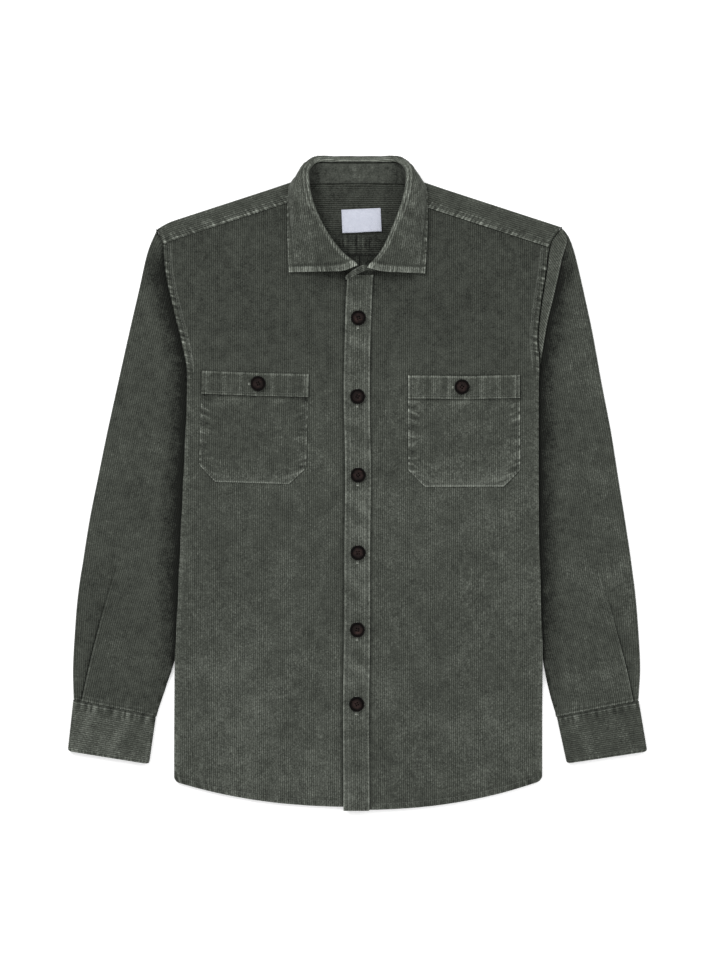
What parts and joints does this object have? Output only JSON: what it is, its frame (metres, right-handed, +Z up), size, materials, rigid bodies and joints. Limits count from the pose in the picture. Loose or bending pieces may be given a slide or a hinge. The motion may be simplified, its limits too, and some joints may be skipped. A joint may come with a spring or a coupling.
{
  "type": "corduroy overshirt, laid flat",
  "caption": "Long-sleeved corduroy overshirt laid flat and buttoned up, with a spread collar, two patch pockets, barrel cuffs and a curved hem.",
  "frame": {"origin": "on the surface that the garment lies on, under the middle of its bounding box", "axes": "+Z up from the surface, +Y towards the collar, +X towards the wearer's left sleeve, which is on the right as seen from above"},
  "size_m": [0.6948, 0.7848, 0.0325],
  "materials": {
    "corduroy": "garment-dyed cotton corduroy, grey green, about ten wales to the inch, paler on worn edges",
    "button": "horn-like polyester, dark brown with reddish clouds, softly polished",
    "label": "plain white woven tape, bare"
  },
  "bodies": {
    "root": {"back": "corduroy", "yoke": "corduroy", "front_right": "corduroy", "front_left": "corduroy", "placket": "corduroy", "sleeve_right": "corduroy", "sleeve_left": "corduroy", "cuff_right": "corduroy", "cuff_left": "corduroy", "collar_leaf": "corduroy", "collar_stand": "corduroy", "pocket_right": "corduroy", "pocket_left": "corduroy", "pocket_band_right": "corduroy", "pocket_band_left": "corduroy", "pocket_button_right": "button", "pocket_button_left": "button", "button_1": "button", "button_2": "button", "button_3": "button", "button_4": "button", "button_5": "button", "button_6": "button", "label": "label"}
  },
  "joints": []
}
